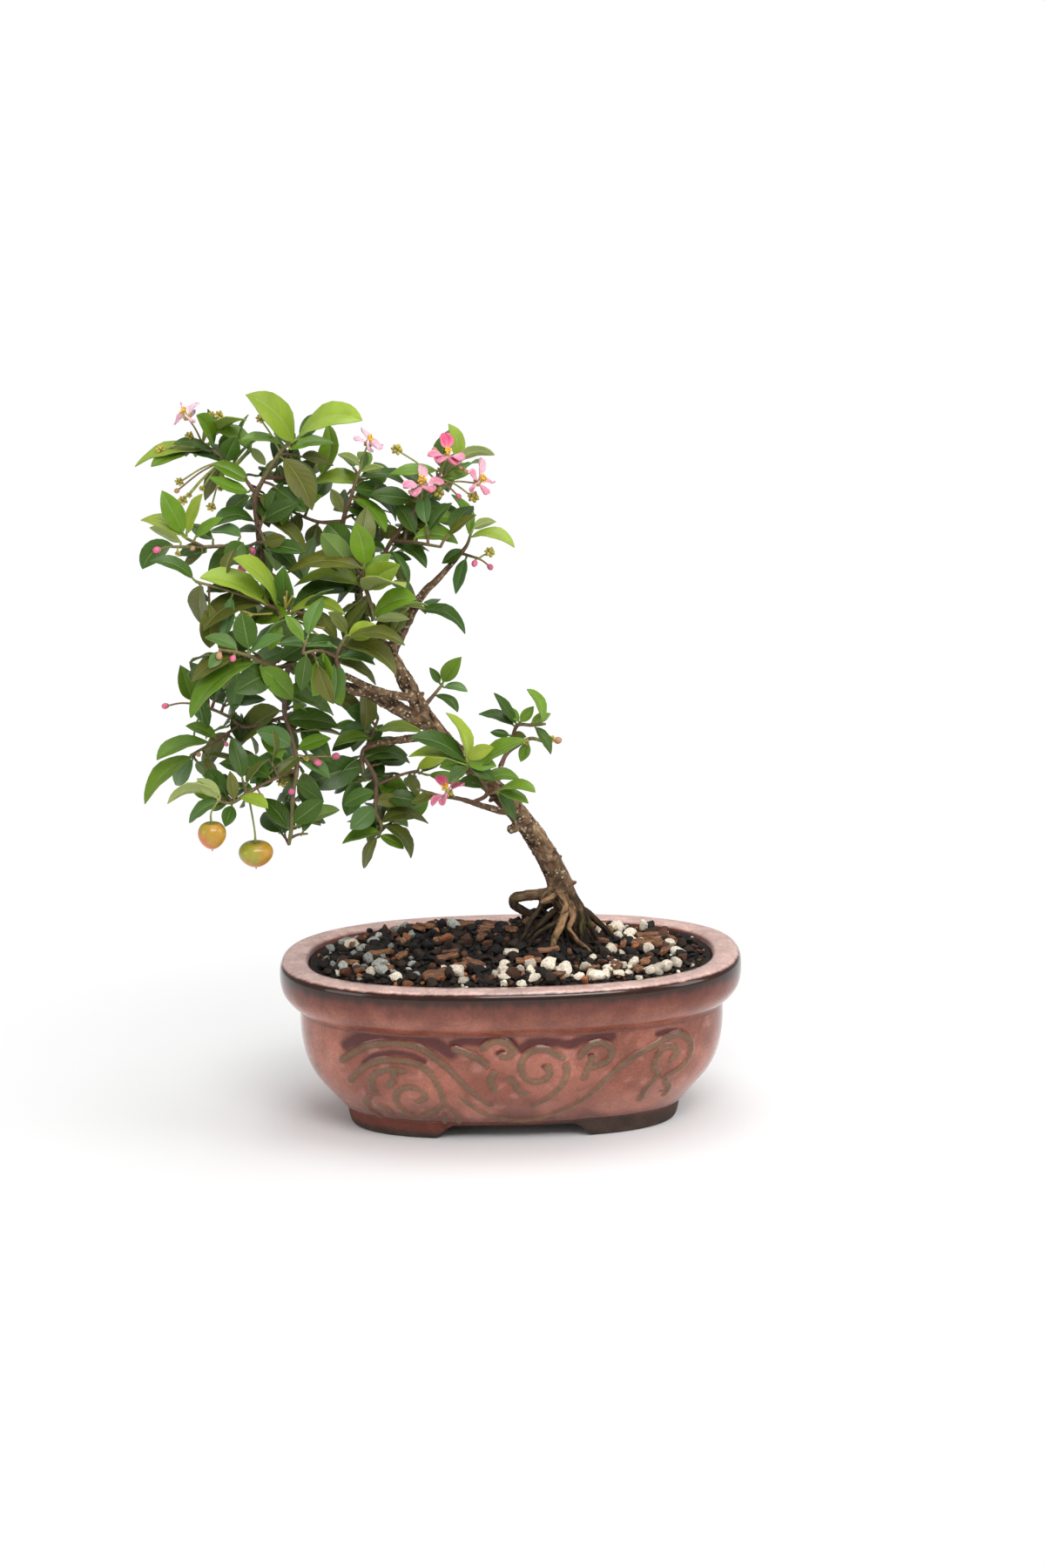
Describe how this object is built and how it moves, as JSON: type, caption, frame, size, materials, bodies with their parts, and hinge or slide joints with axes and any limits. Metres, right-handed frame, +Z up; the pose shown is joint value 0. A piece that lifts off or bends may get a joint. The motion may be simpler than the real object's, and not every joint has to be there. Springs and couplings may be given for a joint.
{
  "type": "barbados cherry bonsai in an oval pot",
  "caption": "Small leaning fruiting tree with bared roots, leafy sprays, pink blooms and ripening fruits, rooted in a glazed oval footed pot.",
  "frame": {"origin": "on the table, under the middle of the whole plant and pot", "axes": "+Z up, +X to the right along the pot's length as seen from its front, +Y away from the viewer"},
  "size_m": [0.2626, 0.1296, 0.3265],
  "materials": {
    "glaze": "mauve-pink glazed stoneware, bare brown clay at the foot",
    "screen": "plain dark plastic mesh",
    "mix": "dry mineral granules and bark chips",
    "bark": "rough living bark with pale pores",
    "leaf": "satin living leaf, paler beneath",
    "petal": "soft matt petal with a yellow heart",
    "fruit": "smooth ripening fruit skin, yellow-green blushed red"
  },
  "bodies": {
    "root": {"pot": "glaze", "drain_screen_left": "screen", "drain_screen_right": "screen", "potting_mix": "mix", "trunk_and_branches": "bark", "crown_spray": "leaf", "far_left_spray": "leaf", "star_spray": "leaf", "middle_left_spray": "leaf", "hanging_spray": "leaf", "middle_spray": "leaf", "centre_spray": "leaf", "upper_spray": "leaf", "flowering_spray": "leaf", "right_tip_spray": "leaf", "right_low_spray": "leaf", "trunk_twig_spray": "leaf", "lower_spray": "leaf", "lower_right_spray": "leaf", "right_spray": "leaf", "bloom_top_left": "petal", "bloom_top": "petal", "bloom_upper_right": "petal", "bloom_right": "petal", "bloom_far_right": "petal", "bloom_lower_right": "petal", "fruit_left": "fruit", "fruit_right": "fruit"}
  },
  "joints": []
}
